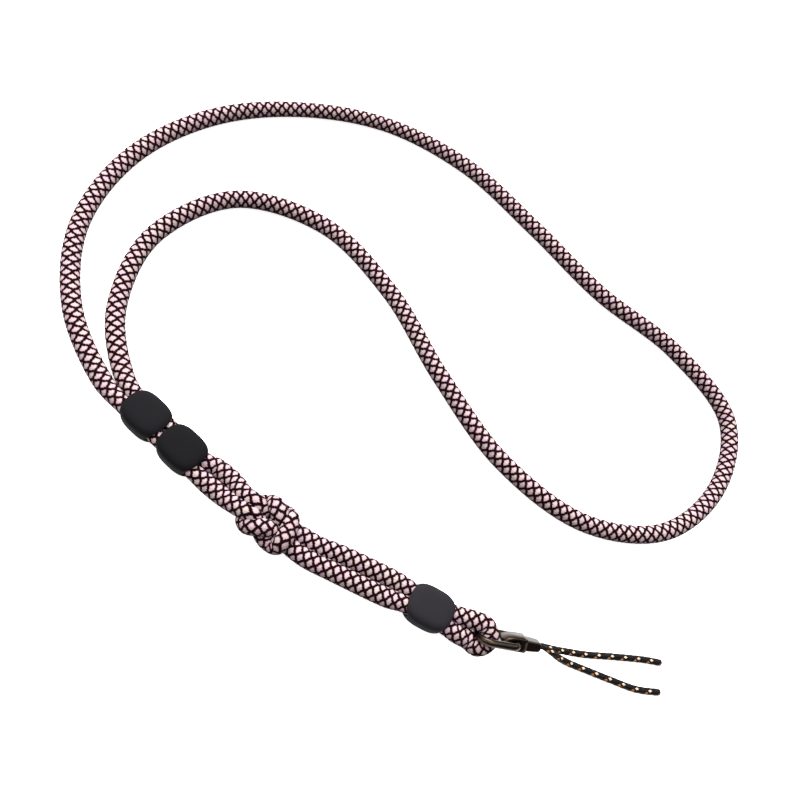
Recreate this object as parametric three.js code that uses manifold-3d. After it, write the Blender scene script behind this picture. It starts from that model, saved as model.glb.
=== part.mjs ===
// A phone lanyard, laid flat: a long loop of thick braided cord for the neck, tied with a reef knot to a short
// loop of the same cord. Two beads gather the long loop above the knot and a third gathers the short one. Its end
// bight holds a wire ring, and a crimp on the ring's end bar clamps two thin strings that tie on to a phone.
// Millimetres, +Z up. The surface it lies on is z = 0, the doubled run goes along X, and the origin is the
// middle of the whole plan.
import {
  BufferAttribute, BufferGeometry, CatmullRomCurve3, CylinderGeometry, Euler, ExtrudeGeometry, Group, MathUtils,
  Mesh, MeshStandardMaterial, Path, Shape, SphereGeometry, TubeGeometry, Vector2, Vector3,
} from 'three';
import { mergeVertices } from 'three/addons/utils/BufferGeometryUtils.js';
import Module from 'manifold-3d';

// Cord: its radius where it lies free, in the doubled run, swelling again beside a bead or the knot, bent round the
// ring, squeezed in a bead and pulled tight in the knot.
const CORD_FREE = 3.85;
const CORD_RUN = 3.55;
const CORD_SWELLING = 3.2;
const CORD_ROUND_RING = 3.1;
const CORD_IN_BEAD = 2.9;
const CORD_IN_KNOT = 2.4;
const CORD_SIDES = 12;
const STEPS_PER_ROW = 2; // tube steps between two rows of a route
const SEAM_GAP = 0.3; // between the two ends of a loop of cord, hidden inside a bead

// The two strands of a doubled run lie this far from its middle.
const RUN_HALF_PITCH = 3.7;
const BEAD_HALF_PITCH = 3.05;

// Beads: a rounded block with bulging sides, flat above and below, and one flat slot for both strands.
const BEAD_LENGTH = 18.4;
const BEAD_WIDTH = 16;
const BEAD_HEIGHT = 10.6;
const BEAD_CROWN = 5.6; // half of the height before it is pared flat
const BEAD_OUTLINE = 3.6; // how square the plan is: 2 is an ellipse, more is squarer
const BEAD_PROFILE = 3.6; // the same for the side view
const BEAD_SPACING = 19.2; // between the middles of the two upper beads
const SLOT_CLEARANCE = 0.6;

// Where the beads and the knot are.
const UPPER_MOUTH = { x: -83.9, y: -90 };
const UPPER_HEADING = MathUtils.degToRad(-13);
const LOWER_BEAD = { x: 54.8, y: -100.65 };
const LOWER_HEADING = MathUtils.degToRad(1.6);
const KNOT = { x: -13.6, y: -102.9 };
const KNOT_HEADING = MathUtils.degToRad(-4);

// Ring: bent wire, one end round and the other a straight bar. It leans over the cord that it holds.
const RING_WIRE = 1.3; // radius
const RING_HALF_WIDTH = 5.6; // to the middle of the wire, as are the next two
const RING_HALF_LENGTH = 7.65;
const RING_CORNER = 2.5;
const RING_CENTRE = new Vector3(82.9, -97.6, 6.15);
const RING_HEADING = MathUtils.degToRad(20);
const RING_LEAN = MathUtils.degToRad(58);

// Ferrule: a folded crimp that tapers both ways. Its eye goes round the ring's bar and its mouth clamps both strings.
const FERRULE_LENGTH = 12.3;
const FERRULE_WIDTH = 6.6;
const FERRULE_MOUTH_WIDTH = 5.2;
const FERRULE_HALF_HEIGHT = 2.2;
const FERRULE_MOUTH_HALF_HEIGHT = 1.9;
const FERRULE_EYE = 1.7; // radius of the eye
const FERRULE_MOUTH_DEPTH = 7.5;
const FERRULE_CLEARANCE = 0.35;

// Strings: radius where they are clamped, where they swell outside the ferrule and where they lie free.
const STRING_CLAMPED = 0.8;
const STRING_SWELLING = 1.1;
const STRING_FREE = 1.4;
const STRING_SIDES = 8;
const STRING_HALF_PITCH = 1;
const STRING_CLEAR = 1.6; // how far it goes on straight from the ferrule's mouth

const BRAID_PINK = 0xe9c4cb;
const RUBBER_BLACK = 0x2b2b2d;
const GUNMETAL = 0x4b4541;
const STRING_BLACK = 0x1b1816;

const wasm = await Module();
wasm.setup();

// A cord's route passes through its rows of { x, y, z, radius }, and nowhere sinks into the surface it lies on.
// Tube steps are shared out by row and not by length, so that they are closer together where the rows are.
class CordRoute extends CatmullRomCurve3 {
  constructor(rows) {
    super(rows.map(({ x, y, z }) => new Vector3(x, y, z)), false, 'centripetal');
    this.radii = rows.map(({ radius }) => radius);
  }

  getUtoTmapping(u) {
    return u;
  }

  radiusAt(u) {
    const place = u * (this.radii.length - 1);
    const before = Math.min(Math.floor(place), this.radii.length - 2);
    return MathUtils.lerp(this.radii[before], this.radii[before + 1], place - before);
  }

  getPoint(u, target) {
    const point = super.getPoint(u, target);
    point.z = Math.max(point.z, this.radiusAt(u));
    return point;
  }
}

function regularPolygon(sides) {
  const corners = [];
  for (let i = 0; i < sides; i += 1) {
    const angle = (2 * Math.PI * i) / sides;
    corners.push(new Vector2(Math.cos(angle), Math.sin(angle)));
  }
  return new Shape(corners);
}

// A tube along a route. It is swept 1 mm thick, then each ring of the sweep is swelled to its own radius. A vertex's
// own ring is the nearest one, because the rings are further apart than the sweep is thick.
function cordTube(rows, sides) {
  const route = new CordRoute(rows);
  const steps = (rows.length - 1) * STEPS_PER_ROW;
  const tube = new ExtrudeGeometry(regularPolygon(sides), { steps, extrudePath: route });
  const centres = route.getSpacedPoints(steps);
  const position = tube.getAttribute('position');
  const vertex = new Vector3();
  for (let i = 0; i < position.count; i += 1) {
    vertex.fromBufferAttribute(position, i);
    const distances = centres.map((centre) => centre.distanceToSquared(vertex));
    const ring = distances.indexOf(Math.min(...distances));
    vertex.sub(centres[ring]).multiplyScalar(route.radiusAt(ring / steps)).add(centres[ring]);
    position.setXYZ(i, vertex.x, vertex.y, vertex.z);
  }
  return tube;
}

function toManifold(geometry) {
  const bare = geometry.clone();
  bare.deleteAttribute('normal');
  bare.deleteAttribute('uv');
  const merged = mergeVertices(bare, 1e-4);
  return new wasm.Manifold(new wasm.Mesh({
    numProp: 3,
    vertProperties: new Float32Array(merged.getAttribute('position').array),
    triVerts: new Uint32Array(merged.getIndex().array),
  }));
}

function toGeometry(manifold) {
  const mesh = manifold.getMesh();
  const geometry = new BufferGeometry();
  geometry.setAttribute('position', new BufferAttribute(mesh.vertProperties, 3));
  geometry.setIndex(new BufferAttribute(mesh.triVerts, 1));
  return geometry;
}

function cut(body, tool) {
  return toGeometry(toManifold(body).subtract(toManifold(tool)));
}

function named(name, geometry, color, roughness, metalness) {
  const mesh = new Mesh(geometry, new MeshStandardMaterial({ color, roughness, metalness }));
  mesh.name = name;
  return mesh;
}

// A flat slot along X, with round sides: room for two round strands side by side.
function slot(length, halfPitch, radius) {
  const outline = new Shape();
  outline.absarc(halfPitch, 0, radius, -Math.PI / 2, Math.PI / 2);
  outline.absarc(-halfPitch, 0, radius, Math.PI / 2, 1.5 * Math.PI);
  const solid = new ExtrudeGeometry(outline, { depth: length, bevelEnabled: false, curveSegments: 6 });
  return solid.rotateX(Math.PI / 2).rotateZ(Math.PI / 2);
}

// ---- Beads ----

function signedPower(value, power) {
  return Math.sign(value) * Math.abs(value) ** power;
}

// A sphere drawn out to a rounded block, its top and bottom pared flat, with the slot cut through it.
function beadGeometry() {
  const ball = new SphereGeometry(1, 32, 14).rotateX(Math.PI / 2);
  const position = ball.getAttribute('position');
  for (let i = 0; i < position.count; i += 1) {
    const z = position.getZ(i);
    const around = Math.atan2(position.getY(i), position.getX(i));
    const reach = Math.abs(1 - z * z) ** (1 / BEAD_PROFILE);
    const x = (BEAD_LENGTH / 2) * signedPower(Math.cos(around), 2 / BEAD_OUTLINE) * reach;
    const y = (BEAD_WIDTH / 2) * signedPower(Math.sin(around), 2 / BEAD_OUTLINE) * reach;
    const rounded = BEAD_CROWN * signedPower(z, 2 / BEAD_PROFILE);
    position.setXYZ(i, x, y, MathUtils.clamp(rounded, -BEAD_HEIGHT / 2, BEAD_HEIGHT / 2) + BEAD_HEIGHT / 2);
  }
  const overrun = 2;
  const hole = slot(BEAD_LENGTH + 2 * overrun, BEAD_HALF_PITCH, CORD_IN_BEAD + SLOT_CLEARANCE)
    .translate(-BEAD_LENGTH / 2 - overrun, 0, BEAD_HEIGHT / 2);
  return cut(ball, hole);
}

function bead(name, x, y, heading) {
  const mesh = named(name, beadGeometry(), RUBBER_BLACK, 0.75, 0);
  mesh.position.set(x, y, 0);
  mesh.rotation.z = heading;
  return mesh;
}

// A point on the line of the two upper beads: along it from their outer mouth, and across it.
function onUpperLine(along, across) {
  return {
    x: UPPER_MOUTH.x + along * Math.cos(UPPER_HEADING) - across * Math.sin(UPPER_HEADING),
    y: UPPER_MOUTH.y + along * Math.sin(UPPER_HEADING) + across * Math.cos(UPPER_HEADING),
  };
}

// The same for the lower bead, along from its middle.
function onLowerLine(along, across) {
  return {
    x: LOWER_BEAD.x + along * Math.cos(LOWER_HEADING) - across * Math.sin(LOWER_HEADING),
    y: LOWER_BEAD.y + along * Math.sin(LOWER_HEADING) + across * Math.cos(LOWER_HEADING),
  };
}

const upperBead = onUpperLine(BEAD_LENGTH / 2, 0);
const middleBead = onUpperLine(BEAD_LENGTH / 2 + BEAD_SPACING, 0);

// ---- Cords ----

function row([x, y, z, radius]) {
  return { x, y, z, radius };
}

// Half of a bight of the knot, from its strand in to the closed end, with x along the knot and y across it from its
// middle. The other half mirrors it in y.
function knotBight(half) {
  const placed = ([x, y, z, radius], side) => row([
    KNOT.x + x * Math.cos(KNOT_HEADING) - side * y * Math.sin(KNOT_HEADING),
    KNOT.y + x * Math.sin(KNOT_HEADING) + side * y * Math.cos(KNOT_HEADING),
    z,
    radius,
  ]);
  const far = half.map((place) => placed(place, 1));
  const near = half.slice(0, -1).map((place) => placed(place, -1));
  return [...near, ...far.reverse()];
}

function inBead(point) {
  return { ...point, z: BEAD_HEIGHT / 2, radius: CORD_IN_BEAD };
}

// The long loop as it lies, from the far strand's mouth of the upper bead round to the near strand's.
const neckLoop = [
  // x, y, z, radius
  [-93.5, -80.9, 4.1, CORD_FREE],
  [-112, -59, 3.85, CORD_FREE],
  [-121, -21, 3.85, CORD_FREE],
  [-104, 17, 3.85, CORD_FREE],
  [-65, 30, 3.85, CORD_FREE],
  [-23, 17, 3.85, CORD_FREE],
  [16, -8, 3.85, CORD_FREE],
  [57, -29, 3.85, CORD_FREE],
  [100, -34, 3.85, CORD_FREE],
  [135, -17, 3.85, CORD_FREE],
  [152.4, 19, 3.85, CORD_FREE],
  [147, 55, 3.85, CORD_FREE],
  [111, 75, 3.85, CORD_FREE],
  [66, 82, 3.85, CORD_FREE],
  [21, 97, 3.85, CORD_FREE],
  [-25, 109.4, 3.85, CORD_FREE],
  [-69, 106, 3.85, CORD_FREE],
  [-106, 87, 3.85, CORD_FREE],
  [-136, 55, 3.85, CORD_FREE],
  [-152, 12, 3.85, CORD_FREE],
  [-148, -33, 3.85, CORD_FREE],
  [-126, -68, 3.85, CORD_FREE],
  [-98, -88, 4.1, CORD_FREE],
].map(row);

// The long loop's bight in the knot: over the short cord's closed end, down between its strands, out under them
// and up to a closed end on top.
const neckBight = knotBight([
  // x, y, z, radius
  [-11.2, 2.9, 7.4, CORD_IN_KNOT],
  [-6.3, 2.7, 7.1, CORD_IN_KNOT],
  [-3.7, 2.7, 4.4, CORD_IN_KNOT],
  [-1.8, 4.4, 2.5, CORD_IN_KNOT],
  [0.1, 6.7, 2.4, CORD_IN_KNOT],
  [3.4, 7.8, 2.4, CORD_IN_KNOT],
  [5.9, 7.6, 3.9, CORD_IN_KNOT],
  [7.4, 5.4, 6.9, CORD_IN_KNOT],
  [7.7, 0, 7.7, CORD_IN_KNOT],
]);

// The short cord's: a closed end underneath, out and up over the long loop's strands, then down inside its bight.
const shortBight = knotBight([
  // x, y, z, radius
  [20, 3.4, 3.25, CORD_SWELLING],
  [11, 2.75, 2.4, CORD_IN_KNOT],
  [5.2, 2.6, 2.8, CORD_IN_KNOT],
  [2.6, 3.3, 5.5, CORD_IN_KNOT],
  [0.4, 4.7, 7.3, CORD_IN_KNOT],
  [-2.6, 7, 7.1, CORD_IN_KNOT],
  [-5.3, 7.8, 4.6, CORD_IN_KNOT],
  [-8, 5.4, 2.5, CORD_IN_KNOT],
  [-9.1, 0, 2.4, CORD_IN_KNOT],
]);

// The short cord's end bight, round the ring, from the far strand to the near one.
const endBight = [
  // x, y, z, radius
  [67.5, -96.4, 5.8, CORD_SWELLING],
  [73, -94.7, 6.7, CORD_RUN],
  [77.8, -94.7, 7.1, CORD_ROUND_RING],
  [80.8, -97.2, 6.5, CORD_ROUND_RING],
  [80.6, -100.9, 4.9, CORD_ROUND_RING],
  [77.9, -103.7, 3.6, CORD_ROUND_RING],
  [73.8, -104.4, 3.3, CORD_ROUND_RING],
  [68.1, -104.4, 4.6, CORD_SWELLING],
].map(row);

// Both strands of a doubled run at one place, as { far, near }.
function strands(x, middleY, z, radius) {
  return {
    far: row([x, middleY + RUN_HALF_PITCH, z, radius]),
    near: row([x, middleY - RUN_HALF_PITCH, z, radius]),
  };
}

const belowMiddleBead = strands(-41.5, -98.7, 4.3, CORD_RUN);
const aboveKnot = strands(-32, -100.2, 3.4, CORD_SWELLING);
const belowKnot = strands(17, -103, 3.55, CORD_RUN);
const aboveLowerBead = strands(39, -101.3, 4.4, CORD_RUN);

const upperLength = BEAD_LENGTH + BEAD_SPACING;
const neckRows = [
  inBead(onUpperLine(BEAD_LENGTH / 2 - SEAM_GAP / 2, BEAD_HALF_PITCH)),
  inBead(onUpperLine(0, BEAD_HALF_PITCH)),
  ...neckLoop,
  inBead(onUpperLine(0, -BEAD_HALF_PITCH)),
  inBead(onUpperLine(upperLength / 2, -BEAD_HALF_PITCH)),
  inBead(onUpperLine(upperLength, -BEAD_HALF_PITCH)),
  belowMiddleBead.near,
  aboveKnot.near,
  ...neckBight,
  aboveKnot.far,
  belowMiddleBead.far,
  inBead(onUpperLine(upperLength, BEAD_HALF_PITCH)),
  inBead(onUpperLine(upperLength / 2, BEAD_HALF_PITCH)),
  inBead(onUpperLine(BEAD_LENGTH / 2 + SEAM_GAP / 2, BEAD_HALF_PITCH)),
];

const shortRows = [
  inBead(onLowerLine(SEAM_GAP / 2, BEAD_HALF_PITCH)),
  inBead(onLowerLine(BEAD_LENGTH / 2, BEAD_HALF_PITCH)),
  ...endBight,
  inBead(onLowerLine(BEAD_LENGTH / 2, -BEAD_HALF_PITCH)),
  inBead(onLowerLine(-BEAD_LENGTH / 2, -BEAD_HALF_PITCH)),
  aboveLowerBead.near,
  belowKnot.near,
  ...shortBight,
  belowKnot.far,
  aboveLowerBead.far,
  inBead(onLowerLine(-BEAD_LENGTH / 2, BEAD_HALF_PITCH)),
  inBead(onLowerLine(-SEAM_GAP / 2, BEAD_HALF_PITCH)),
];

// ---- Ring, ferrule and strings ----

const dropTurn = new Euler(-RING_LEAN, 0, RING_HEADING, 'ZYX');

// The ring lies in its own XY plane with its bar at +X, and the ferrule goes on from the bar along X.
function inDrop(x, y, z) {
  return new Vector3(x, y, z).applyEuler(dropTurn).add(RING_CENTRE);
}

function ringGeometry() {
  const wire = new Path();
  const cornerX = RING_HALF_LENGTH - RING_CORNER;
  const cornerY = RING_HALF_WIDTH - RING_CORNER;
  wire.absarc(RING_HALF_WIDTH - RING_HALF_LENGTH, 0, RING_HALF_WIDTH, Math.PI / 2, 1.5 * Math.PI);
  wire.absarc(cornerX, -cornerY, RING_CORNER, -Math.PI / 2, 0);
  wire.absarc(cornerX, cornerY, RING_CORNER, 0, Math.PI / 2);
  const pointCount = 40;
  const points = wire.getSpacedPoints(pointCount).slice(0, pointCount);
  const loop = new CatmullRomCurve3(points.map(({ x, y }) => new Vector3(x, y, 0)), true);
  return new TubeGeometry(loop, pointCount, RING_WIRE, 8, true);
}

const ferruleEnd = RING_HALF_LENGTH - FERRULE_HALF_HEIGHT + FERRULE_LENGTH;

// The side view swept across, round at the eye, then narrowed to the plan and cut by the eye and the mouth.
function ferruleGeometry() {
  const lip = 0.7; // the mouth's chamfer
  const side = new Shape();
  side.absarc(RING_HALF_LENGTH, 0, FERRULE_HALF_HEIGHT, Math.PI / 2, 1.5 * Math.PI);
  side.lineTo(ferruleEnd - lip, -FERRULE_MOUTH_HALF_HEIGHT);
  side.lineTo(ferruleEnd, lip - FERRULE_MOUTH_HALF_HEIGHT);
  side.lineTo(ferruleEnd, FERRULE_MOUTH_HALF_HEIGHT - lip);
  side.lineTo(ferruleEnd - lip, FERRULE_MOUTH_HALF_HEIGHT);
  const body = new ExtrudeGeometry(side, { depth: FERRULE_WIDTH, bevelEnabled: false, curveSegments: 8 })
    .translate(0, 0, -FERRULE_WIDTH / 2).rotateX(Math.PI / 2);
  const position = body.getAttribute('position');
  for (let i = 0; i < position.count; i += 1) {
    const toMouth = (position.getX(i) - RING_HALF_LENGTH) / (ferruleEnd - RING_HALF_LENGTH);
    const width = MathUtils.lerp(FERRULE_WIDTH, FERRULE_MOUTH_WIDTH, Math.max(0, toMouth));
    position.setY(i, (position.getY(i) * width) / FERRULE_WIDTH);
  }
  const overrun = 2;
  const eye = new CylinderGeometry(FERRULE_EYE, FERRULE_EYE, FERRULE_WIDTH + overrun, 16)
    .translate(RING_HALF_LENGTH, 0, 0);
  const mouth = slot(FERRULE_MOUTH_DEPTH + overrun, STRING_HALF_PITCH, STRING_CLAMPED + FERRULE_CLEARANCE)
    .translate(ferruleEnd - FERRULE_MOUTH_DEPTH, 0, 0);
  return cut(cut(body, eye), mouth);
}

// A string starts deep in the ferrule's mouth, comes straight out at the given side and follows its rows.
function stringRows(side, rows) {
  const deepest = ferruleEnd - FERRULE_MOUTH_DEPTH + FERRULE_CLEARANCE;
  const start = inDrop(deepest, side * STRING_HALF_PITCH, 0);
  const mouth = inDrop(ferruleEnd, side * STRING_HALF_PITCH, 0);
  const outside = inDrop(ferruleEnd + STRING_CLEAR, side * STRING_HALF_PITCH, 0);
  return [
    { x: start.x, y: start.y, z: start.z, radius: STRING_CLAMPED },
    { x: mouth.x, y: mouth.y, z: mouth.z, radius: STRING_CLAMPED },
    { x: outside.x, y: outside.y, z: outside.z, radius: STRING_CLAMPED },
    ...rows.map(row),
  ];
}

const upperStringRows = stringRows(1, [
  // x, y, z, radius
  [107, -88.7, 4, STRING_SWELLING],
  [113.5, -86.05, 2.1, STRING_FREE],
  [120, -83.45, 1.4, STRING_FREE],
  [132, -77.85, 1.4, STRING_FREE],
  [144.3, -72.45, 1.4, STRING_FREE],
  [150.6, -70.2, 1.4, STRING_FREE],
]);

const lowerStringRows = stringRows(-1, [
  // x, y, z, radius
  [105, -91.2, 6.3, STRING_SWELLING],
  [109.3, -91, 4.3, STRING_FREE],
  [114, -90.25, 2.4, STRING_FREE],
  [120, -89.15, 1.4, STRING_FREE],
  [132.7, -87.15, 1.4, STRING_FREE],
  [144.3, -85.05, 1.4, STRING_FREE],
  [153.6, -81.4, 1.4, STRING_FREE],
]);

const drop = new Group();
drop.position.copy(RING_CENTRE);
drop.rotation.copy(dropTurn);
drop.add(named('ring', ringGeometry(), GUNMETAL, 0.35, 1));
drop.add(named('ferrule', ferruleGeometry(), GUNMETAL, 0.4, 1));

const lanyard = new Group();
lanyard.add(named('neck_cord', cordTube(neckRows, CORD_SIDES), BRAID_PINK, 0.85, 0));
lanyard.add(named('short_cord', cordTube(shortRows, CORD_SIDES), BRAID_PINK, 0.85, 0));
lanyard.add(bead('bead_upper', upperBead.x, upperBead.y, UPPER_HEADING));
lanyard.add(bead('bead_middle', middleBead.x, middleBead.y, UPPER_HEADING));
lanyard.add(bead('bead_lower', LOWER_BEAD.x, LOWER_BEAD.y, LOWER_HEADING));
lanyard.add(drop);
lanyard.add(named('string_upper', cordTube(upperStringRows, STRING_SIDES), STRING_BLACK, 0.7, 0));
lanyard.add(named('string_lower', cordTube(lowerStringRows, STRING_SIDES), STRING_BLACK, 0.7, 0));

export default lanyard;
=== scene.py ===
# A phone lanyard laid flat: a long loop of thick braided cord for the neck, tied with a reef knot to a short
# loop of the same cord. Two soft beads gather the long loop and a third the short one, which holds a wire
# ring. A crimp on the ring clamps two thin strings. Metres, +Z up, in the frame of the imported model. The
# surface that it lies on is z = 0.
import math

import bmesh
import bpy
import numpy as np
from mathutils import Matrix, Vector


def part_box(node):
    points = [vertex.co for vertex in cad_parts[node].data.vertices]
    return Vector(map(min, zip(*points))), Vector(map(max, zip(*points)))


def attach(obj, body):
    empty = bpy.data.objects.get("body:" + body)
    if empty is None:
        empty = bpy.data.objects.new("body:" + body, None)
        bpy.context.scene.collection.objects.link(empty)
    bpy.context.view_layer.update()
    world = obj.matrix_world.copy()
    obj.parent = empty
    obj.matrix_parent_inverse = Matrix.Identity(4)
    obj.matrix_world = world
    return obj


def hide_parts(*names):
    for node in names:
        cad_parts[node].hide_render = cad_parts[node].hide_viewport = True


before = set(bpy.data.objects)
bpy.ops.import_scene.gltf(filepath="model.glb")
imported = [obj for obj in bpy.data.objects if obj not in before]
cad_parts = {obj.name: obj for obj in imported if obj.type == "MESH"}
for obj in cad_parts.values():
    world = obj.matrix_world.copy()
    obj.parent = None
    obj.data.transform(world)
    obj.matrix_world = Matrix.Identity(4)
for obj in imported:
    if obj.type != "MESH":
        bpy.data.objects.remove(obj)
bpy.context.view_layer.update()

# ---- Camera ----
# It stands off the near side, looks down steeply and is rolled, so that the doubled run slopes down to the
# right.
CAMERA_PLACE = (-0.00108, -0.1835, 0.28365)
CAMERA_HEADING = math.radians(2.485)  # from +Y towards +X
CAMERA_PITCH = math.radians(61)
CAMERA_ROLL = math.radians(33)
CAMERA_LENS = 33.75  # mm
CAMERA_SENSOR = 36
CAMERA_NEAR_LIMIT = 0.01

level = Vector((math.sin(CAMERA_HEADING), math.cos(CAMERA_HEADING), 0))
forward = level * math.cos(CAMERA_PITCH) - Vector((0, 0, math.sin(CAMERA_PITCH)))
level_right = forward.cross(Vector((0, 0, 1))).normalized()
level_up = level_right.cross(forward)
right = level_right * math.cos(CAMERA_ROLL) + level_up * math.sin(CAMERA_ROLL)
up = right.cross(forward)
camera = bpy.data.objects.new("camera", bpy.data.cameras.new("camera"))
camera.data.lens = CAMERA_LENS
camera.data.sensor_width = CAMERA_SENSOR
camera.data.clip_start = CAMERA_NEAR_LIMIT
camera_turn = Matrix((right, up, -forward)).transposed().to_4x4()
camera.matrix_world = Matrix.Translation(CAMERA_PLACE) @ camera_turn
bpy.context.scene.collection.objects.link(camera)
bpy.context.scene.camera = camera

# ---- Neck cord ----
# The long loop: 8 mm round polyester braid, soft, pale pink cells in a black net. Its two ends butt inside
# the upper bead. Both its strands run through the two upper beads to a closed end in the knot.
# The cord's radius where it lies free, where it is thinner on the far side of the loop, in the doubled run,
# in a bead, and pulled tight in the knot.
FREE = 0.0039
THIN = 0.0035
RUN = 0.0037
MOUTH = 0.0032
TIGHT = 0.0034
BEAD_REACH = 0.0092  # from a bead's middle to its mouth
BEAD_HEIGHT = 0.0106
STRAND_OFFSET = 0.0037  # of a strand from the middle of the doubled run
BEAD_OFFSET = 0.00305  # of a strand from the middle of a bead
UPPER_HEADING = math.radians(-13)
KNOT = (-0.0136, -0.1029)
KNOT_HEADING = math.radians(-4)
# The knot's rows are of a loose knot with thinner cord. It is drawn together by these shares and skewed.
LOOSE_KNOT_RADIUS = 0.0024
KNOT_LENGTH_LEFT = 0.95
KNOT_WIDTH_LEFT = 0.77
KNOT_HEIGHT_LEFT = 0.86
KNOT_SKEW = 0.17
SEAM_GAP = 0.0003
ROUTE_STEP = 0.0004  # between the points of a cord's route
SPLINE_STEPS = 60  # between two rows of a route
PATH_STRIDE = 5
CELLS_ROUND = 5
CELL_LENGTH = 0.0045
# Grid lines across a cell of the braid: the middle of the net, its edge, and the two sides of the swelling.
# The heights are of the surface over the cord's radius, at the net, at its edge and on the swelling.
CELL_LINES = np.array([0, 0.17, 0.36, 0.64, 0.83])
NET_TOP = 0.00006
NET_EDGE = -0.0001
SWELLING = 0.00006
CORD_END_BULGE = 0.0004
# Cells crowd together where the cord bends, by so much for each part of its radius over that of the bend.
# The crowding is limited, and is evened out over so many points of the route to either side.
BEND_CROWDING = 0.6
TIGHTEST_BEND = 0.7
CROWDING_SPREAD = 12
ROWS_PAST_END = 2  # of cells, which make the dome that closes an end
CORNER_KEY_STEP = 10**6  # more than there are grid lines along a cord
SAME_PLACE = 1e-7


def bead_middle_point(bead):
    low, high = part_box(bead)
    return (low + high) / 2


def in_bead(bead, heading, along, across):
    middle = bead_middle_point(bead)
    x = middle.x + along * math.cos(heading) - across * math.sin(heading)
    y = middle.y + along * math.sin(heading) + across * math.cos(heading)
    return (x, y, BEAD_HEIGHT / 2, MOUTH)


def knot_bight(half, skew):
    """Half of a bight of the knot with x and y from the knot's middle, and its mirror image in y before
    it. It is drawn together in length, width and height, and skewed along its far side."""
    def placed(side, x, y, z, radius):
        along = KNOT_LENGTH_LEFT * x + skew * side * y
        across = KNOT_WIDTH_LEFT * side * y
        height = TIGHT + KNOT_HEIGHT_LEFT * (z - LOOSE_KNOT_RADIUS)
        turn = Matrix.Rotation(KNOT_HEADING, 2)
        turned_x, turned_y = Vector(KNOT) + turn @ Vector((along, across))
        return (turned_x, turned_y, height, radius)

    near = [placed(-1, *place) for place in half[:-1]]
    return near + [placed(1, *place) for place in half[::-1]]


def strand(side, x, middle_y, z, radius):
    return (x, middle_y + side * STRAND_OFFSET, z, radius)


def smooth_route(rows):
    """Points and radii, a step apart, on the centripetal spline through rows of (x, y, z, radius). It never
    sinks into the surface."""
    rows = np.array(rows)
    knots = np.vstack([2 * rows[:1] - rows[1:2], rows, 2 * rows[-1:] - rows[-2:-1]])[:, :3]
    pieces = []
    for i in range(len(rows) - 1):
        before, start, end, after = knots[i : i + 4]
        gap_in, gap, gap_out = (max(1e-9, np.linalg.norm(b - a)) ** 0.5 for a, b in
                                ((before, start), (start, end), (end, after)))
        slope_in = (start - before) / gap_in - (end - before) / (gap_in + gap) + (end - start) / gap
        slope_out = (end - start) / gap - (after - start) / (gap + gap_out) + (after - end) / gap_out
        t = np.linspace(0, 1, SPLINE_STEPS, endpoint=False)[:, None]
        place = (start * (2 * t**3 - 3 * t**2 + 1) + slope_in * gap * (t**3 - 2 * t**2 + t)
                 + end * (3 * t**2 - 2 * t**3) + slope_out * gap * (t**3 - t**2))
        radius = rows[i, 3] + (rows[i + 1, 3] - rows[i, 3]) * t
        pieces.append(np.hstack([place, radius]))
    fine = np.vstack(pieces + [rows[-1:]])
    fine[:, 2] = np.maximum(fine[:, 2], fine[:, 3] + SWELLING)
    along = np.concatenate([[0], np.cumsum(np.linalg.norm(np.diff(fine[:, :3], axis=0), axis=1))])
    even = np.linspace(0, along[-1], int(along[-1] / ROUTE_STEP) + 1)
    fine = np.stack([np.interp(even, along, fine[:, k]) for k in range(4)], axis=1)
    return even, fine[:, :3], fine[:, 3]


def untwisted_frames(points):
    """A direction along the route and two across it at each point, carried along without twist."""
    along = np.gradient(points, axis=0)
    along /= np.linalg.norm(along, axis=1)[:, None]
    side = np.cross(along[0], (0, 0, 1.0))
    sides = []
    for direction in along:
        side = side - direction * np.dot(side, direction)
        side /= np.linalg.norm(side)
        sides.append(side)
    sides = np.array(sides)
    return along, sides, np.cross(along, sides)


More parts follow.
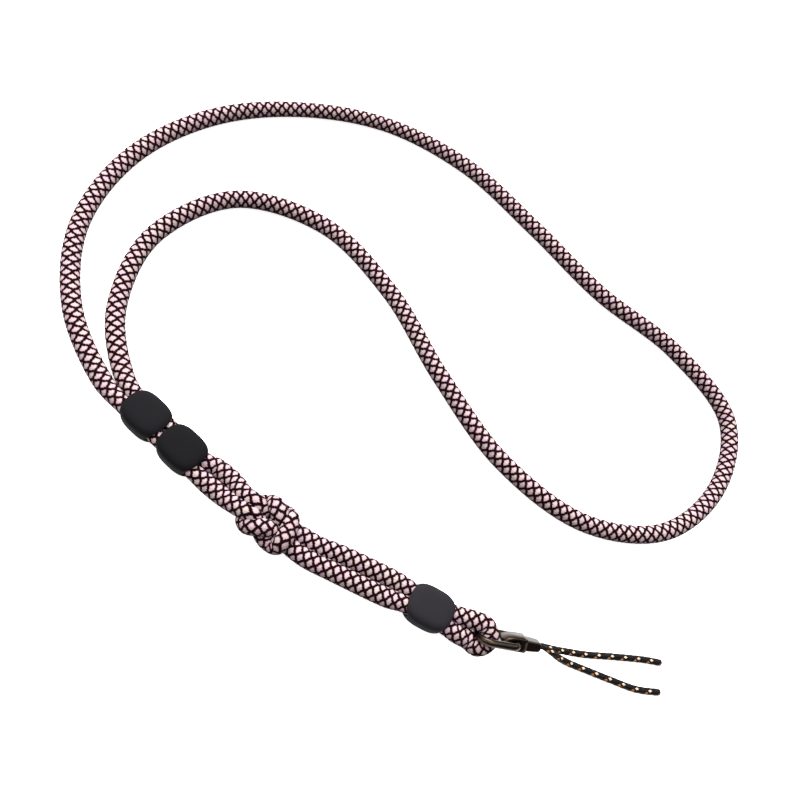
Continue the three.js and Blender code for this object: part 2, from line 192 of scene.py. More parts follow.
def braided_cord(name, rows, cells_round, cell_length, heights, end_bulge):
    """A cord's surface, in cells that wind both ways round it and crowd together where it bends. A cell's
    two numbers are its UV, and the grid inside it follows CELL_LINES. Both ends are closed by a dome."""
    along, points, radii = smooth_route(rows)
    tangents, sides, tops = untwisted_frames(points)
    length = along[-1]
    bend = np.minimum(np.linalg.norm(np.gradient(tangents, along, axis=0), axis=1) * radii, TIGHTEST_BEND)
    crowded = np.pad(1 + BEND_CROWDING * bend, CROWDING_SPREAD, mode="edge")
    window = 2 * CROWDING_SPREAD + 1
    crowding = np.convolve(crowded, np.ones(window) / window, mode="valid")
    cells_along = np.concatenate([[0], np.cumsum((crowding[1:] + crowding[:-1]) / 2 * np.diff(along))])
    row_count = round(2 * cells_along[-1] / cell_length) - 1
    cell_length = 2 * cells_along[-1] / (row_count + 1)
    grid = len(CELL_LINES)
    lines = np.append(CELL_LINES, 1)
    cell_rows = np.arange(-ROWS_PAST_END, row_count + ROWS_PAST_END)
    row, place = np.meshgrid(cell_rows, np.arange(cells_round), indexing="ij")
    difference = 2 * place + row % 2
    first = ((row + difference) // 2).ravel()
    second = ((row - difference) // 2).ravel()
    p, q = (k.ravel() for k in np.meshgrid(np.arange(grid), np.arange(grid), indexing="ij"))
    corners = ((0, 0), (1, 0), (1, 1), (0, 1))
    i = np.stack([first[:, None] * grid + p + dp for dp, dq in corners], axis=-1).reshape(-1, 4)
    j = np.stack([second[:, None] * grid + q + dq for dp, dq in corners], axis=-1).reshape(-1, 4)
    a = np.stack([first[:, None] + lines[p + dp] for dp, dq in corners], axis=-1).reshape(-1, 4)
    b = np.stack([second[:, None] + lines[q + dq] for dp, dq in corners], axis=-1).reshape(-1, 4)
    # Corners that meet once round the cord get the same key.
    round_cord = grid * cells_round
    turns = np.floor_divide(i - j, 2 * round_cord)
    key = (i - turns * round_cord) * CORNER_KEY_STEP + (j + turns * round_cord) + CORNER_KEY_STEP // 2
    _, where, faces = np.unique(key, return_index=True, return_inverse=True)
    faces = faces.reshape(-1, 4)
    va, vb = a.ravel()[where], b.ravel()[where]
    line_a, line_b = i.ravel()[where] % grid, j.ravel()[where] % grid
    depth = np.minimum(np.minimum(line_a, grid - line_a), np.minimum(line_b, grid - line_b))
    relief = np.array(heights)[depth]
    s = (va + vb) / 2 * cell_length
    angle = math.pi * (va - vb) / cells_round
    past = np.clip(np.maximum(-s, s - cells_along[-1]) / (cell_length / 2), 0, 1) * math.pi / 2
    s = np.interp(s, cells_along, along)

    def sample(values):
        return np.stack([np.interp(s, along, values[:, k]) for k in range(3)], axis=1)

    reach = (np.interp(s, along, radii) + relief) * np.cos(past)
    outward = np.where(s > length / 2, 1, -1) * end_bulge * np.sin(past)
    vertices = (sample(points) + sample(tangents) * outward[:, None]
                + sample(sides) * (reach * np.cos(angle))[:, None]
                + sample(tops) * (reach * np.sin(angle))[:, None])
    mesh = bpy.data.meshes.new(name)
    mesh.from_pydata(vertices.tolist(), [], faces.tolist())
    mesh.uv_layers.new(name="cells").data.foreach_set("uv", np.stack([a, b], axis=-1).ravel())
    mesh.polygons.foreach_set("use_smooth", [True] * len(faces))
    shaped = bmesh.new()
    shaped.from_mesh(mesh)
    bmesh.ops.remove_doubles(shaped, verts=shaped.verts, dist=SAME_PLACE)
    bmesh.ops.recalc_face_normals(shaped, faces=shaped.faces)
    shaped.to_mesh(mesh)
    shaped.free()
    cord = bpy.data.objects.new(name, mesh)
    bpy.context.scene.collection.objects.link(cord)
    return cord, points[::PATH_STRIDE].tolist()


neck_loop = [
    # x, y, z, radius
    (-0.0935, -0.0809, 0.0041, FREE),
    (-0.112, -0.059, 0.0039, FREE),
    (-0.121, -0.021, 0.0039, FREE),
    (-0.1042, 0.0173, 0.0039, FREE),
    (-0.065, 0.03, 0.0039, FREE),
    (-0.023, 0.017, 0.0039, FREE),
    (0.016, -0.008, 0.0039, FREE),
    (0.057, -0.029, 0.0039, FREE),
    (0.1, -0.034, 0.0039, FREE),
    (0.135, -0.017, 0.0039, FREE),
    (0.1524, 0.019, 0.0039, FREE),
    (0.147, 0.055, 0.0039, FREE),
    (0.111, 0.075, 0.0039, FREE),
    (0.066, 0.082, 0.0039, FREE),
    (0.021, 0.097, 0.0039, FREE),
    (-0.025, 0.1094, 0.0039, FREE),
    (-0.069, 0.106, 0.0039, THIN),
    (-0.1058, 0.0867, 0.0039, THIN),
    (-0.136, 0.055, 0.0039, FREE),
    (-0.152, 0.012, 0.0039, FREE),
    (-0.148, -0.033, 0.0039, FREE),
    (-0.126, -0.068, 0.0039, FREE),
    (-0.098, -0.088, 0.0041, FREE),
]
# Over the short cord's closed end, down between its strands, out under them and up to a closed end on top.
neck_bight = knot_bight([
    # x, y, z, radius
    (-0.0132, 0.0033, 0.0063, 0.0035),
    (-0.0084, 0.003, 0.0075, TIGHT),
    (-0.0056, 0.0028, 0.0056, TIGHT),
    (-0.003, 0.0046, 0.0028, TIGHT),
    (-0.0002, 0.0072, 0.0024, TIGHT),
    (0.0034, 0.0082, 0.0024, TIGHT),
    (0.0062, 0.0077, 0.0039, TIGHT),
    (0.0076, 0.0054, 0.0067, TIGHT),
    (0.0080, 0, 0.0074, TIGHT),
], -KNOT_SKEW)


def neck_strand(side):
    """One strand from the upper bead's mouth down to the knot."""
    return [
        in_bead("bead_upper", UPPER_HEADING, -BEAD_REACH, side * BEAD_OFFSET),
        in_bead("bead_upper", UPPER_HEADING, BEAD_REACH, side * BEAD_OFFSET),
        in_bead("bead_middle", UPPER_HEADING, BEAD_REACH, side * BEAD_OFFSET),
        strand(side, -0.0415, -0.0987, 0.0043, RUN),
        strand(side, -0.0335, -0.1, 0.0044, 0.0036),
    ]


far_strand = neck_strand(1)
neck_rows = [
    in_bead("bead_upper", UPPER_HEADING, -SEAM_GAP / 2, BEAD_OFFSET),
    far_strand[0],
    *neck_loop,
    *neck_strand(-1),
    *neck_bight,
    *far_strand[:0:-1],
    in_bead("bead_upper", UPPER_HEADING, SEAM_GAP / 2, BEAD_OFFSET),
]
neck_cord, neck_path = braided_cord("neck_cord_braid", neck_rows, CELLS_ROUND, CELL_LENGTH,
                                    (NET_TOP, NET_EDGE, SWELLING), CORD_END_BULGE)

braid = bpy.data.materials.new("braid")
braid.use_nodes = True
YARN_PINK = (0.60, 0.452, 0.48, 1)
YARN_CREAM = (0.60, 0.515, 0.462, 1)
YARN_LILAC = (0.57, 0.447, 0.523, 1)
# Painted shade: a cell is darker and pinker towards the net, where its yarn dips into the groove beside it.
YARN_GROOVE_SHADE = (0.75, 0.50, 0.56, 1)  # what a cell's colour is multiplied by at its edge
NET_BLACK = (0.006, 0.0020, 0.0028, 1)
# In parts of a cell: the net from its middle, how soft its edge is, the band of painted shade where the yarn
# darkens towards the net in the groove beside it, and how far the second yarn of a cell stands off the
# first.
NET_HALF_WIDTH = 0.165
NET_SOFT_EDGE = 0.02
GROOVE_SHADE_BAND = 0.09
CELL_JOG = 0.08
# Few cells are clearly lilac or cream: a random number to this power, times the most that a cell takes.
TINT_POWER = 3.0
MOST_LILAC = 0.7
MOST_CREAM = 0.8
LILAC_SEED = 1.0
CREAM_SEED = 5.0
# Filaments: radians for each cell, slant, and the shade that they vary about, up and down.
FILAMENTS = 50.0
FILAMENT_SLANT = 0.15
FILAMENT_SHADE = 0.93
FILAMENT_CONTRAST = 0.07
FILAMENT_BUMP = 0.5
FILAMENT_HEIGHT = 0.00008
YARN_ROUGHNESS = 0.8
YARN_SHINE = 0.02
YARN_GLOW_THROUGH = 0.15  # the share of light that scatters inside the yarn, and how far each colour gets
YARN_GLOW_COLOURS = (1, 0.35, 0.4)
YARN_GLOW_REACH = 0.0012


def shader_maths(tree):
    """A function that adds a Math node to the tree and returns its output."""
    def maths(operation, first, second=0.0, third=0.0):
        node = tree.nodes.new("ShaderNodeMath")
        node.operation = operation
        for socket, value in zip(node.inputs, (first, second, third)):
            if isinstance(value, (int, float)):
                socket.default_value = value
            else:
                tree.links.new(value, socket)
        return node.outputs[0]
    return maths


def colour_mix(tree, factor, first, second, blend="MIX"):
    node = tree.nodes.new("ShaderNodeMix")
    node.data_type = "RGBA"
    node.blend_type = blend
    for socket, value in ((node.inputs[0], factor), (node.inputs[6], first), (node.inputs[7], second)):
        if isinstance(value, (int, float, tuple)):
            socket.default_value = value
        else:
            tree.links.new(value, socket)
    return node.outputs[2]


def cell_numbers(tree):
    """The two numbers of a cell of the braid, from the UV."""
    split = tree.nodes.new("ShaderNodeSeparateXYZ")
    place = tree.nodes.new("ShaderNodeUVMap")
    place.uv_map = "cells"
    tree.links.new(place.outputs[0], split.inputs[0])
    return split.outputs[0], split.outputs[1]


def per_cell_random(tree, first, second, seed):
    """A random number for each cell of the braid."""
    maths = shader_maths(tree)
    join = tree.nodes.new("ShaderNodeCombineXYZ")
    tree.links.new(maths("FLOOR", first), join.inputs[0])
    tree.links.new(maths("FLOOR", second), join.inputs[1])
    join.inputs[2].default_value = seed
    noise = tree.nodes.new("ShaderNodeTexWhiteNoise")
    tree.links.new(join.outputs[0], noise.inputs[0])
    return noise.outputs[0]


def finish_braid_material():
    """Pink yarn in cells of two strands each, a few of them lilac or cream, between the lines of a black
    net."""
    tree = braid.node_tree
    maths = shader_maths(tree)
    shader = tree.nodes["Principled BSDF"]
    first, second = cell_numbers(tree)
    # Each cell is two yarns side by side, and the second one stands a little further along.
    jog_first = maths("MULTIPLY", maths("GREATER_THAN", maths("FRACT", second), 0.5), CELL_JOG)
    jog_second = maths("MULTIPLY", maths("GREATER_THAN", maths("FRACT", first), 0.5), CELL_JOG)

    def from_net(number, jog):
        off_middle = maths("SUBTRACT", maths("FRACT", maths("ADD", number, jog)), 0.5)
        return maths("SUBTRACT", 0.5, maths("ABSOLUTE", off_middle))

    nearest = maths("MINIMUM", from_net(first, jog_first), from_net(second, jog_second))
    in_cell = tree.nodes.new("ShaderNodeMapRange")
    in_cell.interpolation_type = "SMOOTHSTEP"
    in_cell.inputs["From Min"].default_value = NET_HALF_WIDTH - NET_SOFT_EDGE
    in_cell.inputs["From Max"].default_value = NET_HALF_WIDTH + NET_SOFT_EDGE
    tree.links.new(nearest, in_cell.inputs["Value"])
    lilac_chance = per_cell_random(tree, first, second, LILAC_SEED)
    cream_chance = per_cell_random(tree, first, second, CREAM_SEED)
    lilac = maths("MULTIPLY", maths("POWER", lilac_chance, TINT_POWER), MOST_LILAC)
    cream = maths("MULTIPLY", maths("POWER", cream_chance, TINT_POWER), MOST_CREAM)
    yarn = colour_mix(tree, cream, colour_mix(tree, lilac, YARN_PINK, YARN_LILAC), YARN_CREAM)
    # Fine filaments run along one yarn direction, and painted shade darkens the cell towards the net.
    slanted = maths("ADD", first, maths("MULTIPLY", second, FILAMENT_SLANT))
    filament = maths("SINE", maths("MULTIPLY", slanted, FILAMENTS))
    shade = maths("ADD", FILAMENT_SHADE, maths("MULTIPLY", filament, FILAMENT_CONTRAST))
    fibre = tree.nodes.new("ShaderNodeCombineColor")
    for socket in fibre.inputs:
        tree.links.new(shade, socket)
    yarn = colour_mix(tree, 1.0, yarn, fibre.outputs[0], "MULTIPLY")
    # Painted shade: in the groove beside the net, the yarn's colour is multiplied darker and pinker.
    to_middle = tree.nodes.new("ShaderNodeMapRange")
    to_middle.interpolation_type = "SMOOTHSTEP"
    to_middle.inputs["From Min"].default_value = NET_HALF_WIDTH
    to_middle.inputs["From Max"].default_value = NET_HALF_WIDTH + GROOVE_SHADE_BAND
    tree.links.new(nearest, to_middle.inputs["Value"])
    groove_shade = colour_mix(tree, to_middle.outputs[0], YARN_GROOVE_SHADE, (1.0, 1.0, 1.0, 1.0))
    yarn = colour_mix(tree, 1.0, yarn, groove_shade, "MULTIPLY")
    tree.links.new(colour_mix(tree, in_cell.outputs[0], NET_BLACK, yarn), shader.inputs["Base Color"])
    shader.inputs["Roughness"].default_value = YARN_ROUGHNESS
    shader.inputs["Specular IOR Level"].default_value = YARN_SHINE
    shader.inputs["Subsurface Weight"].default_value = YARN_GLOW_THROUGH
    shader.inputs["Subsurface Radius"].default_value = YARN_GLOW_COLOURS
    shader.inputs["Subsurface Scale"].default_value = YARN_GLOW_REACH
    bump = tree.nodes.new("ShaderNodeBump")
    bump.inputs["Strength"].default_value = FILAMENT_BUMP
    bump.inputs["Distance"].default_value = FILAMENT_HEIGHT
    tree.links.new(filament, bump.inputs["Height"])
    tree.links.new(bump.outputs[0], shader.inputs["Normal"])


finish_braid_material()
neck_cord.data.materials.append(braid)
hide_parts("neck_cord")
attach(neck_cord, "root")

# ---- Short cord ----
# The same cord in a short loop: its two ends butt inside the lower bead, one bend holds the ring and the
# other is the lower half of the reef knot.
SHORT_CELL_LENGTH = 0.0042
LOWER_HEADING = math.radians(1.6)

# A closed end underneath, out and up over the long loop's strands, then down inside its bight.
short_bight = knot_bight([
    # x, y, z, radius
    (0.02, 0.0044, 0.0027, 0.0036),
    (0.0115, 0.0038, 0.0025, 0.0035),
    (0.0052, 0.0027, 0.0028, TIGHT),
    (0.0026, 0.0033, 0.0055, TIGHT),
    (0.0004, 0.005, 0.0073, TIGHT),
    (-0.0026, 0.0073, 0.0071, TIGHT),
    (-0.0053, 0.0078, 0.0046, TIGHT),
    (-0.008, 0.0054, 0.0025, TIGHT),
    (-0.0091, 0, 0.0024, TIGHT),
], KNOT_SKEW)
# Round the ring, from the far strand to the near one.
end_bight = [
    # x, y, z, radius
    (0.0675, -0.0969, 0.0058, 0.0035),
    (0.0725, -0.0960, 0.0067, RUN),
    (0.0770, -0.0956, 0.0071, RUN),
    (0.0801, -0.0979, 0.0065, RUN),
    (0.0803, -0.1011, 0.0049, RUN),
    (0.0777, -0.1035, 0.004, RUN),
    (0.0738, -0.1029, 0.0039, RUN),
    (0.0681, -0.1035, 0.0047, 0.0035),
]


def short_strand(side):
    """One strand from the lower bead's left mouth to the knot."""
    return [
        in_bead("bead_lower", LOWER_HEADING, -BEAD_REACH, side * BEAD_OFFSET),
        strand(side, 0.039, -0.1013, 0.0044, RUN),
        strand(side, 0.017, -0.103, 0.0037, RUN),
    ]


short_rows = [
    in_bead("bead_lower", LOWER_HEADING, SEAM_GAP / 2, BEAD_OFFSET),
    in_bead("bead_lower", LOWER_HEADING, BEAD_REACH, BEAD_OFFSET),
    *end_bight,
    in_bead("bead_lower", LOWER_HEADING, BEAD_REACH, -BEAD_OFFSET),
    *short_strand(-1),
    *short_bight,
    *short_strand(1)[::-1],
    in_bead("bead_lower", LOWER_HEADING, -SEAM_GAP / 2, BEAD_OFFSET),
]
short_cord, short_path = braided_cord("short_cord_braid", short_rows, CELLS_ROUND, SHORT_CELL_LENGTH,
                                      (NET_TOP, NET_EDGE, SWELLING), CORD_END_BULGE)
short_cord.data.materials.append(braid)
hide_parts("short_cord")
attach(short_cord, "root")

# ---- Beads ----
# Three soft black silicone rubber beads, moulded as rounded blocks with a flat hole. Both strands of a
# doubled run are pushed through the hole, and the bead stays where its grip on the braid leaves it.
BEAD_LENGTH = 0.0194
BEAD_WIDTH = 0.0156
BEAD_SQUARENESS = 2.8  # of the plan: 2 is an ellipse, more is squarer
BEAD_SIDE_SQUARENESS = 4.6  # of the side view
HOLE_RADIUS = 0.0034
HOLE_RIM = 0.0006
BEAD_POINTS_ROUND = 56
BEAD_RINGS = 11  # from the hole's mouth to the bead's widest ring
FIRST_RING = 0.06  # of the way from the one to the other
BEAD_SMOOTHING = 2
BEAD_GREYS = {"bead_upper": 0.0092, "bead_middle": 0.0072, "bead_lower": 0.0195}
GREEN_OF_GREY = 0.94
BLUE_OF_GREY = 1.12
RUBBER_ROUGHNESS = 0.7
RUBBER_SHINE = 0.04
GRAIN_FINENESS = 2600
GRAIN_DETAIL = 3
GRAIN_BUMP = 0.25
GRAIN_HEIGHT = 0.00006


def loft(name, rings, closed):
    """Quads from each ring of points to the next. If closed, the last ring joins the first, and otherwise
    both ends are capped."""
    rings = np.array(rings)
    count, around = rings.shape[:2]
    faces = []
    for i in range(count if closed else count - 1):
        for j in range(around):
            here, after = i * around, (i + 1) % count * around
            beside = (j + 1) % around
            faces.append((here + j, here + beside, after + beside, after + j))
    if not closed:
        faces.append(tuple(range(around))[::-1])
        faces.append(tuple((count - 1) * around + j for j in range(around)))
    mesh = bpy.data.meshes.new(name)
    mesh.from_pydata(rings.reshape(-1, 3).tolist(), [], faces)
    mesh.polygons.foreach_set("use_smooth", [True] * len(faces))
    shaped = bmesh.new()
    shaped.from_mesh(mesh)
    bmesh.ops.recalc_face_normals(shaped, faces=shaped.faces)
    shaped.to_mesh(mesh)
    shaped.free()
    made = bpy.data.objects.new(name, mesh)
    bpy.context.scene.collection.objects.link(made)
    return made


def smoother(made, levels):
    subdivision = made.modifiers.new("smooth", "SUBSURF")
    subdivision.levels = levels
    subdivision.render_levels = levels


def bead_rings():
    """Rings of points round the hole, from the middle of its wall out over one mouth, round the outside
    and in over the other mouth. The hole is along X and the bead's middle is at 0."""
    angles = np.linspace(0, 2 * math.pi, BEAD_POINTS_ROUND, endpoint=False)
    cosines, sines = np.cos(angles), np.sin(angles)
    outside = ((np.abs(cosines) / (BEAD_WIDTH / 2)) ** BEAD_SIDE_SQUARENESS
               + (np.abs(sines) / (BEAD_HEIGHT / 2)) ** BEAD_SIDE_SQUARENESS) ** (-1 / BEAD_SIDE_SQUARENESS)
    flat = HOLE_RADIUS / np.maximum(np.abs(sines), 1e-9)
    offset = BEAD_OFFSET * np.abs(sines)
    rounded = BEAD_OFFSET * np.abs(cosines) + np.sqrt(np.maximum(HOLE_RADIUS**2 - offset**2, 0))
    hole = np.where(flat * np.abs(cosines) < BEAD_OFFSET, flat, rounded)

    def ring(reach, x):
        return np.stack([x, reach * cosines, reach * sines], axis=1)

    def depth(reach):
        across = np.abs(reach * cosines) / (BEAD_WIDTH / 2)
        raised = np.minimum(np.abs(reach * sines) / (BEAD_HEIGHT / 2), 1)
        under_top = (1 - raised**BEAD_SIDE_SQUARENESS) ** (BEAD_SQUARENESS / BEAD_SIDE_SQUARENESS)
        left = under_top - across**BEAD_SQUARENESS
        return BEAD_LENGTH / 2 * np.maximum(left, 0) ** (1 / BEAD_SQUARENESS)

    half = [ring(hole, 0 * hole)]
    half.append(ring(hole, depth(hole) - HOLE_RIM))
    for step in np.linspace(FIRST_RING, 1, BEAD_RINGS)[:-1]:
        reach = hole + (outside - hole) * np.sin(step * math.pi / 2) ** (2 / BEAD_SQUARENESS)
        half.append(ring(reach, depth(reach)))
    half.append(ring(outside, 0 * hole))
    mirrored = [piece * (-1, 1, 1) for piece in half[-2:0:-1]]
    return half + mirrored


def rubber_material(name, grey):
    """Matt black silicone rubber with a fine grain."""
    rubber = bpy.data.materials.new(name)
    rubber.use_nodes = True
    tree = rubber.node_tree
    shader = tree.nodes["Principled BSDF"]
    shader.inputs["Base Color"].default_value = (grey, GREEN_OF_GREY * grey, BLUE_OF_GREY * grey, 1)
    shader.inputs["Specular IOR Level"].default_value = RUBBER_SHINE
    shader.inputs["Roughness"].default_value = RUBBER_ROUGHNESS
    grain = tree.nodes.new("ShaderNodeTexNoise")
    grain.inputs["Scale"].default_value = GRAIN_FINENESS
    grain.inputs["Detail"].default_value = GRAIN_DETAIL
    bump = tree.nodes.new("ShaderNodeBump")
    bump.inputs["Strength"].default_value = GRAIN_BUMP
    bump.inputs["Distance"].default_value = GRAIN_HEIGHT
    place = tree.nodes.new("ShaderNodeTexCoord")
    tree.links.new(place.outputs["Object"], grain.inputs["Vector"])
    tree.links.new(grain.outputs[0], bump.inputs["Height"])
    tree.links.new(bump.outputs[0], shader.inputs["Normal"])
    return rubber


for node, heading in (
    ("bead_upper", UPPER_HEADING),
    ("bead_middle", UPPER_HEADING),
    ("bead_lower", LOWER_HEADING),
):
    soft_bead = loft(node + "_soft", bead_rings(), closed=True)
    smoother(soft_bead, BEAD_SMOOTHING)
    middle = bead_middle_point(node)
    soft_bead.location = (middle.x, middle.y, BEAD_HEIGHT / 2)
    soft_bead.rotation_euler = (0, 0, heading)
    soft_bead.data.materials.append(rubber_material(node + "_rubber", BEAD_GREYS[node]))
    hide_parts(node)
    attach(soft_bead, "root")

# ---- Ring ----
# Bent steel wire, gunmetal plated: one end round, the other a straight bar that carries the crimp. It goes
# through the short cord's end bend and leans over the near side of it.
RING_WIRE = 0.0015  # radius
RING_HALF_WIDTH = 0.0056
RING_HALF_LENGTH = 0.00765
RING_CORNER = 0.0025
RING_CENTRE = Vector((0.0829, -0.0976, 0.00615))
RING_HEADING = math.radians(20)
RING_LEAN = math.radians(58)
WIRE_POINTS_ROUND = 16
RING_END_POINTS = 33
RING_CORNER_POINTS = 9
RING_LEG_POINTS = 9
GUNMETAL = (0.042, 0.031, 0.023, 1)
GUNMETAL_ROUGHNESS = 0.3
METAL_SMOOTHING = 1
# The ring lies in its own XY plane with its bar at +X. This places it, and the crimp that goes on from the
# bar.
drop_turn = Matrix.Rotation(RING_HEADING, 4, "Z") @ Matrix.Rotation(-RING_LEAN, 4, "X")
drop = Matrix.Translation(RING_CENTRE) @ drop_turn


def arc(x, y, radius, start, end, count):
    """Points on an arc, from one angle to the other in degrees, as x and y."""
    angles = np.radians(np.linspace(start, end, count))
    return np.stack([x + radius * np.cos(angles), y + radius * np.sin(angles)], axis=1)


def ring_wire_rings():
    """Rings of points round the wire: round end, one leg, the bar with its two corners, and the other
    leg."""
    corner_x = RING_HALF_LENGTH - RING_CORNER
    corner_y = RING_HALF_WIDTH - RING_CORNER
    legs = np.linspace(RING_HALF_WIDTH - RING_HALF_LENGTH, corner_x, RING_LEG_POINTS)[1:-1]
    line = np.vstack([
        arc(RING_HALF_WIDTH - RING_HALF_LENGTH, 0, RING_HALF_WIDTH, 90, 270, RING_END_POINTS),
        np.stack([legs, 0 * legs - RING_HALF_WIDTH], axis=1),
        arc(corner_x, -corner_y, RING_CORNER, -90, 0, RING_CORNER_POINTS),
        arc(corner_x, corner_y, RING_CORNER, 0, 90, RING_CORNER_POINTS),
        np.stack([legs[::-1], 0 * legs + RING_HALF_WIDTH], axis=1),
    ])
    along = np.roll(line, -1, axis=0) - np.roll(line, 1, axis=0)
    along /= np.linalg.norm(along, axis=1)[:, None]
    angles = np.linspace(0, 2 * math.pi, WIRE_POINTS_ROUND, endpoint=False)
    across, height = RING_WIRE * np.cos(angles), RING_WIRE * np.sin(angles)
    return [np.stack([x + across * along_y, y - across * along_x, height], axis=1)
            for (x, y), (along_x, along_y) in zip(line, along)]


gunmetal = bpy.data.materials.new("gunmetal")
gunmetal.use_nodes = True
gunmetal_shader = gunmetal.node_tree.nodes["Principled BSDF"]
gunmetal_shader.inputs["Metallic"].default_value = 1
gunmetal_shader.inputs["Base Color"].default_value = GUNMETAL
gunmetal_shader.inputs["Roughness"].default_value = GUNMETAL_ROUGHNESS
wire_ring = loft("ring_wire", ring_wire_rings(), closed=True)
smoother(wire_ring, METAL_SMOOTHING)
wire_ring.matrix_world = drop
wire_ring.data.materials.append(gunmetal)
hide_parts("ring")
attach(wire_ring, "root")

# ---- Ferrule ----
# A crimp of plated steel sheet: a strap folded round the ring's bar runs on as a flat sleeve, and the
# sleeve is pressed on to the two strings at its mouth.
FERRULE_LENGTH = 0.0123
FERRULE_HALF_WIDTH = 0.0033
FERRULE_HALF_HEIGHT = 0.0022
FERRULE_EYE = 0.0016  # radius of the eye round the bar
STRAP_REACH = 0.0027  # half of the strap's height
FOLD_REACH = 0.003  # how much further than that the fold reaches into the ring
STRAP_LENGTH = 0.004  # from the bar to where the strap goes into the sleeve
SHEET_EDGE = 0.0003  # how far a cut edge is rounded
STRING_HALF_PITCH = 0.001
MOUTH_RADIUS = 0.00115
# Back from the mouth's lip: where its wall starts to be straight, and where it begins to narrow and ends.
MOUTH_LIP = 0.0004
MOUTH_NARROWS = 0.0055
MOUTH_BOTTOM = 0.006
MOUTH_SQUARENESS = 3
SLEEVE_POINTS_ROUND = 40
STRAP_POINTS_ROUND = 40
ferrule_end = RING_HALF_LENGTH - FERRULE_HALF_HEIGHT + FERRULE_LENGTH


def squircle(x, half_width, half_height, squareness):
    """A ring of points across the crimp at x."""
    angles = np.linspace(0, 2 * math.pi, SLEEVE_POINTS_ROUND, endpoint=False)
    cosines, sines = np.cos(angles), np.sin(angles)
    y = half_width * np.sign(cosines) * np.abs(cosines) ** (2 / squareness)
    z = half_height * np.sign(sines) * np.abs(sines) ** (2 / squareness)
    return np.stack([0 * angles + x, y, z], axis=1)


def sleeve_rings():
    """The sleeve with its mouth: in along the mouth, round its lip and back over the outside."""
    outside = [
        # x back from the mouth, half width, half height, squareness
        (0, 0.0023, 0.00145, 3),
        (0.0002, 0.0025, 0.00175, 4),
        (0.0006, 0.0026, 0.0019, 6),
        (0.0020, 0.0027, 0.00195, 8),
        (0.0084, 0.0032, 0.0023, 8),
        (0.0088, 0.0030, 0.0020, 6),
    ]
    mouth_width = STRING_HALF_PITCH + MOUTH_RADIUS
    mouth = [
        # x back from the mouth, half width, half height, squareness
        (MOUTH_BOTTOM, mouth_width - SHEET_EDGE, MOUTH_RADIUS - SHEET_EDGE, MOUTH_SQUARENESS),
        (MOUTH_NARROWS, mouth_width, MOUTH_RADIUS, MOUTH_SQUARENESS),
        (MOUTH_LIP, mouth_width, MOUTH_RADIUS, MOUTH_SQUARENESS),
    ]
    return [squircle(ferrule_end - back, width, height, power)
            for back, width, height, power in mouth + outside]


def strap_rings():
    """The strap round the bar, as closed outlines side by side across the ring, with its eye as the inner
    ones."""
    angles = np.radians(np.linspace(0, 360, STRAP_POINTS_ROUND, endpoint=False))

    def outline(y, inset):
        half_height = STRAP_REACH - inset
        x = np.cos(angles) * (half_height + FOLD_REACH)
        z = np.sin(angles) * half_height
        to_top = half_height / np.maximum(np.abs(np.sin(angles)), 1e-6)
        flat = np.minimum(STRAP_LENGTH / np.maximum(np.cos(angles), 1e-6), to_top)
        right = np.cos(angles) > 0
        x = np.where(right, np.cos(angles) * flat, x)
        z = np.where(right, np.sin(angles) * flat, z)
        return np.stack([RING_HALF_LENGTH + x, 0 * x + y, z], axis=1)

    def eye(y, radius):
        x, z = RING_HALF_LENGTH + radius * np.cos(angles), radius * np.sin(angles)
        return np.stack([x, 0 * angles + y, z], axis=1)

    edge = SHEET_EDGE
    width = FERRULE_HALF_WIDTH
    return [
        eye(-width + edge, FERRULE_EYE), eye(-width, FERRULE_EYE + edge), outline(-width, edge),
        outline(-width + edge, 0), outline(width - edge, 0), outline(width, edge),
        eye(width, FERRULE_EYE + edge), eye(width - edge, FERRULE_EYE),
    ]


for name, rings, closed in (
    ("ferrule_sleeve", sleeve_rings(), False),
    ("ferrule_strap", strap_rings(), True),
):
    crimp = loft(name, rings, closed)
    if name == "ferrule_sleeve":
        smoother(crimp, METAL_SMOOTHING)
    crimp.matrix_world = drop
    crimp.data.materials.append(gunmetal)
    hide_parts("ferrule")
    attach(crimp, "root")

# ---- Strings ----
# Two thin black polyester cords, eight-strand braid with tan tracer yarns. One end of each is pressed in the
# crimp and the other, which ties on to the phone, is cut and heat-sealed.
STRING_CLAMPED = 0.0009  # radius in the crimp, where it swells outside it, and where it lies free
STRING_SWELLING = 0.0013
STRING_FREE = 0.00136
STRING_CLEAR = 0.0016  # how far it goes on straight from the mouth
MOUTH_DEPTH = 0.0052
STRING_CELLS_ROUND = 4
STRING_CELL_LENGTH = 0.00295
STRING_HEIGHTS = (-0.00008, -0.00002, 0.00004)
STRING_END_BULGE = 0.0008
STRING_BLACK = (0.0025, 0.0022, 0.0022, 1)
STRING_PALER_BLACK = (0.007, 0.006, 0.006, 1)
STRING_SEED = 3.0
TRACER_ORANGE = (0.50, 0.17, 0.05, 1)
TRACER_PALE = (0.7, 0.50, 0.34, 1)
TRACER_HALF_WIDTH = 0.28  # of a cell
STRANDS_TO_A_TRACER = 2.0
TRACER_REPEAT = 4.0  # cells along a strand, of which it lies on top for the last two
UNDER_FOR = 1.5
FIRST_ON_TOP = 2.5
STRING_ROUGHNESS = 0.6
STRING_SHINE = 0.12


def string_rows(side, rows):
    """From deep in the crimp straight out of its mouth, then along the rows."""
    inside = [(drop @ Vector((x, side * STRING_HALF_PITCH, 0))) for x in
              (ferrule_end - MOUTH_DEPTH, ferrule_end, ferrule_end + STRING_CLEAR)]
    return [(*place, STRING_CLAMPED) for place in inside] + rows


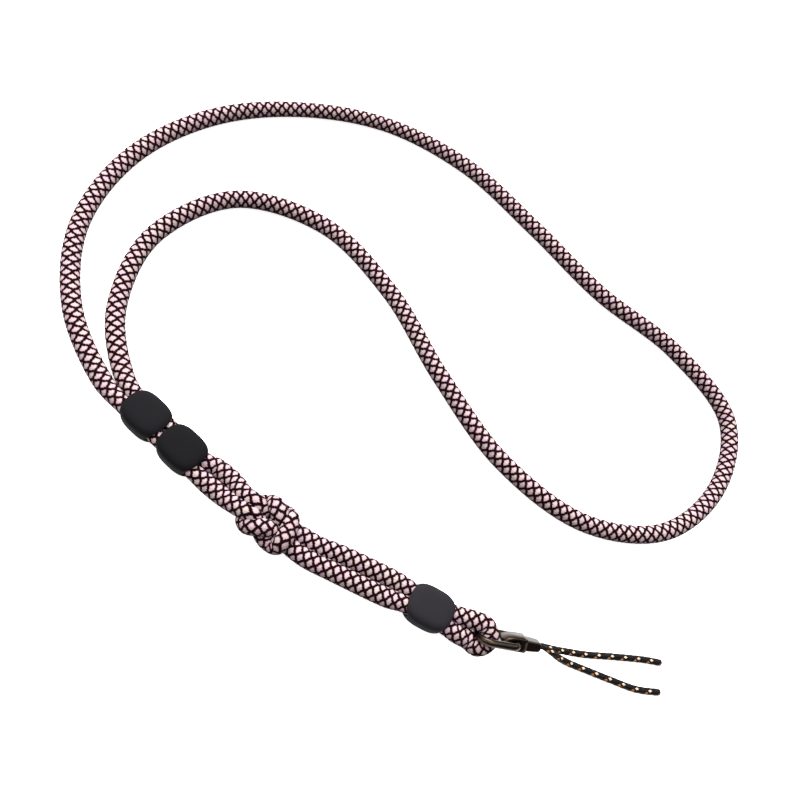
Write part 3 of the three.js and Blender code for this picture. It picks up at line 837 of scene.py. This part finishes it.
upper_string_rows = string_rows(1, [
    # x, y, z, radius
    (0.107, -0.0887, 0.004, STRING_SWELLING),
    (0.1135, -0.08605, 0.0021, STRING_FREE),
    (0.12, -0.08345, 0.0014, STRING_FREE),
    (0.132, -0.07785, 0.0014, STRING_FREE),
    (0.1443, -0.07245, 0.0014, STRING_FREE),
    (0.1506, -0.0702, 0.0014, STRING_FREE),
])
lower_string_rows = string_rows(-1, [
    # x, y, z, radius
    (0.105, -0.0912, 0.0063, STRING_SWELLING),
    (0.1093, -0.091, 0.0043, STRING_FREE),
    (0.114, -0.09025, 0.0024, STRING_FREE),
    (0.12, -0.08915, 0.0014, STRING_FREE),
    (0.1327, -0.08715, 0.0014, STRING_FREE),
    (0.1443, -0.08505, 0.0014, STRING_FREE),
    (0.1536, -0.0814, 0.0014, STRING_FREE),
])

string_braid = bpy.data.materials.new("string")
string_braid.use_nodes = True


def finish_string_material():
    """Every other strand of those that wind one way has a tan tracer yarn, seen where it lies on top, for
    two cells in four. One of the two is paler."""
    tree = string_braid.node_tree
    maths = shader_maths(tree)
    shader = tree.nodes["Principled BSDF"]
    first, second = cell_numbers(tree)
    first_cell, second_cell = maths("FLOOR", first), maths("FLOOR", second)
    traced = maths("LESS_THAN", maths("FLOORED_MODULO", first_cell, STRANDS_TO_A_TRACER), 0.5)
    turned = maths("FLOORED_MODULO", maths("SUBTRACT", first_cell, second_cell), TRACER_REPEAT)
    on_top = maths("GREATER_THAN", turned, UNDER_FOR)
    across = maths("ABSOLUTE", maths("SUBTRACT", maths("FRACT", first), 0.5))
    along = maths("ABSOLUTE", maths("SUBTRACT", maths("FRACT", second), 0.5))
    inside = maths("LESS_THAN", maths("MAXIMUM", across, along), TRACER_HALF_WIDTH)
    tracer = maths("MULTIPLY", maths("MULTIPLY", traced, on_top), inside)
    shade = per_cell_random(tree, first, second, STRING_SEED)
    tan = colour_mix(tree, maths("LESS_THAN", turned, FIRST_ON_TOP), TRACER_ORANGE, TRACER_PALE)
    black = colour_mix(tree, shade, STRING_BLACK, STRING_PALER_BLACK)
    tree.links.new(colour_mix(tree, tracer, black, tan), shader.inputs["Base Color"])
    shader.inputs["Roughness"].default_value = STRING_ROUGHNESS
    shader.inputs["Specular IOR Level"].default_value = STRING_SHINE


finish_string_material()
for node, rows in (("string_upper", upper_string_rows), ("string_lower", lower_string_rows)):
    thin_string, string_path = braided_cord(node + "_braid", rows, STRING_CELLS_ROUND, STRING_CELL_LENGTH,
                                            STRING_HEIGHTS, STRING_END_BULGE)
    thin_string.data.materials.append(string_braid)
    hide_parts(node)
    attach(thin_string, "root")

# ---- Floor and light ----
# A white floor that glows a little, so that it stays white under the cord. Its light is kept off the cord,
# and the metal reflects it. Soft lamps stand on the far side and to both sides, and the largest hangs
# overhead.
FLOOR_GREY = (0.9, 0.9, 0.9, 1)
FLOOR_ROUGHNESS = 0.9
FLOOR_SHINE = 0.1
FLOOR_GLOW_COLOUR = (1, 1, 1, 1)
FLOOR_GLOW = 0.9
FLOOR_SIZE = 6
FLOOR_DROP = 0.0002  # below the cord, so that the two surfaces don't meet
ROOM_COLOUR = (1, 0.84, 0.88, 1)
ROOM_LIGHT = 0.12
floor_material = bpy.data.materials.new("floor")
floor_material.use_nodes = True
floor_shader = floor_material.node_tree.nodes["Principled BSDF"]
floor_shader.inputs["Base Color"].default_value = FLOOR_GREY
floor_shader.inputs["Roughness"].default_value = FLOOR_ROUGHNESS
floor_shader.inputs["Specular IOR Level"].default_value = FLOOR_SHINE
floor_shader.inputs["Emission Color"].default_value = FLOOR_GLOW_COLOUR
floor_shader.inputs["Emission Strength"].default_value = FLOOR_GLOW
bpy.ops.mesh.primitive_plane_add(size=FLOOR_SIZE, location=(0, 0, -FLOOR_DROP))
floor = bpy.context.object
floor.name = "floor"
floor.visible_diffuse = False
floor.data.materials.append(floor_material)


def soft_light(name, place, size, power):
    """A square lamp of this size in metres and power in watts, turned towards the middle of the lanyard."""
    lamp = bpy.data.lights.new(name, "AREA")
    lamp.size = size
    lamp.energy = power
    holder = bpy.data.objects.new(name, lamp)
    holder.location = place
    holder.rotation_euler = (-Vector(place)).to_track_quat("-Z", "Y").to_euler()
    bpy.context.scene.collection.objects.link(holder)


soft_light("far", (-0.50, 0.85, 0.70), 0.6, 21)
soft_light("left", (-0.80, -0.25, 0.75), 0.6, 4.5)
soft_light("right", (0.60, 0.60, 0.75), 0.6, 4.5)
soft_light("overhead", (-0.1, 0.1, 1.2), 1.0, 15)
world = bpy.data.worlds.new("studio")
bpy.context.scene.world = world
world.use_nodes = True
room = world.node_tree.nodes["Background"]
room.inputs["Color"].default_value = ROOM_COLOUR
room.inputs["Strength"].default_value = ROOM_LIGHT
bpy.context.scene.view_settings.view_transform = "Standard"
